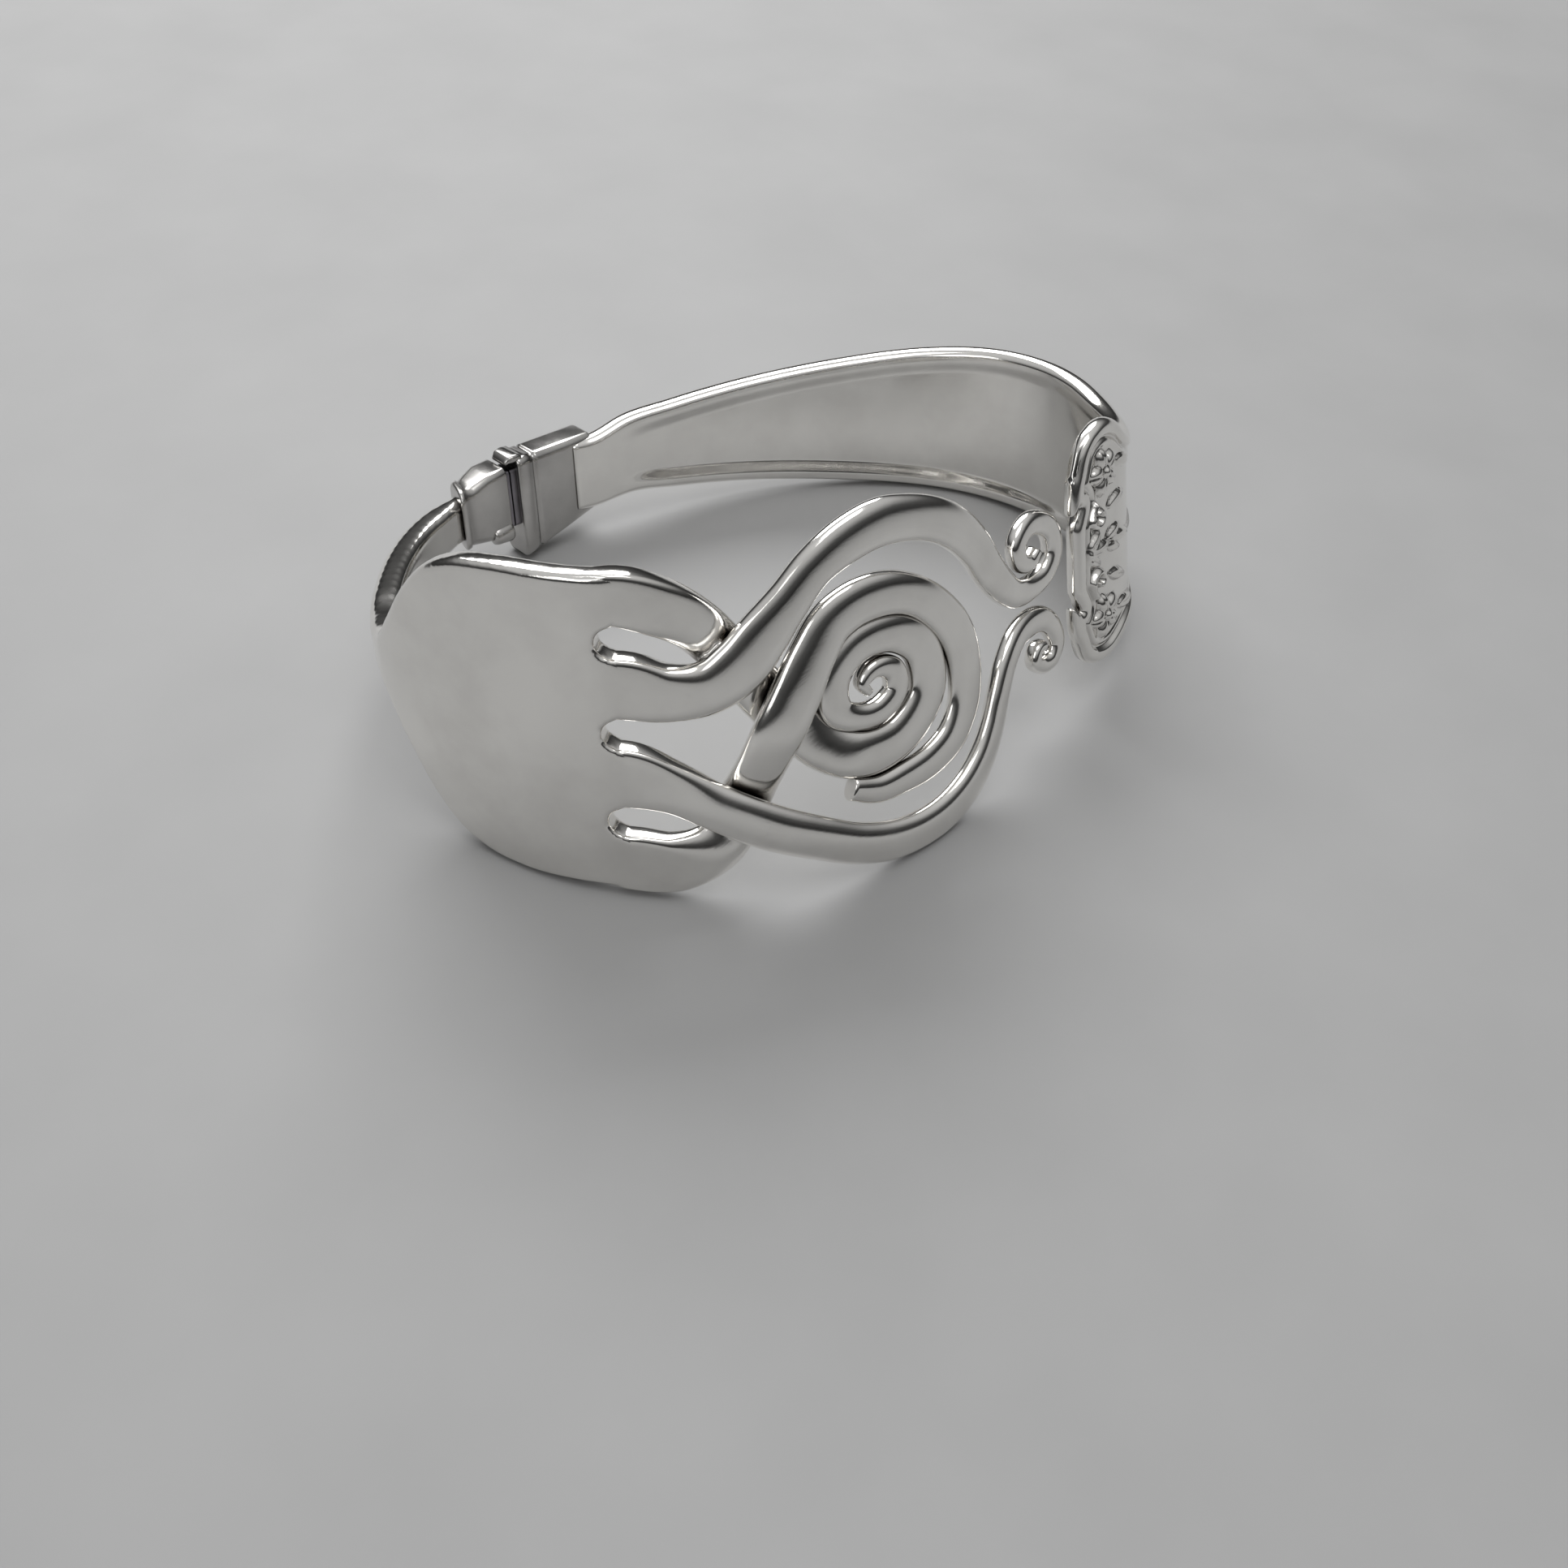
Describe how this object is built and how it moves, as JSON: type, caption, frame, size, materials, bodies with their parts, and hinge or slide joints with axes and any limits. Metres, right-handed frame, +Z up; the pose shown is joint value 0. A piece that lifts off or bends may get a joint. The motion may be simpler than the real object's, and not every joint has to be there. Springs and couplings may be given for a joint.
{
  "type": "fork bracelet",
  "caption": "Oval bangle bent from a table fork: palm with curled tines across the front, handle band round the back and a magnetic clasp.",
  "frame": {"origin": "middle of the underside of the box round the whole bracelet as it rests on its side", "axes": "+X along the oval's long way, from the palm's end towards the ornate tip; +Y from the fork front to the clasp; +Z up"},
  "size_m": [0.0682, 0.0524, 0.0284],
  "materials": {
    "silver": "polished silver plate",
    "clasp_metal": "polished, a little duller",
    "magnet": "dark plated"
  },
  "bodies": {
    "root": {"fork_head": "silver", "spoon_handle": "silver", "clasp_socket": "clasp_metal", "clasp_plug": "clasp_metal", "socket_magnet": "magnet", "plug_magnet": "magnet"}
  },
  "joints": []
}
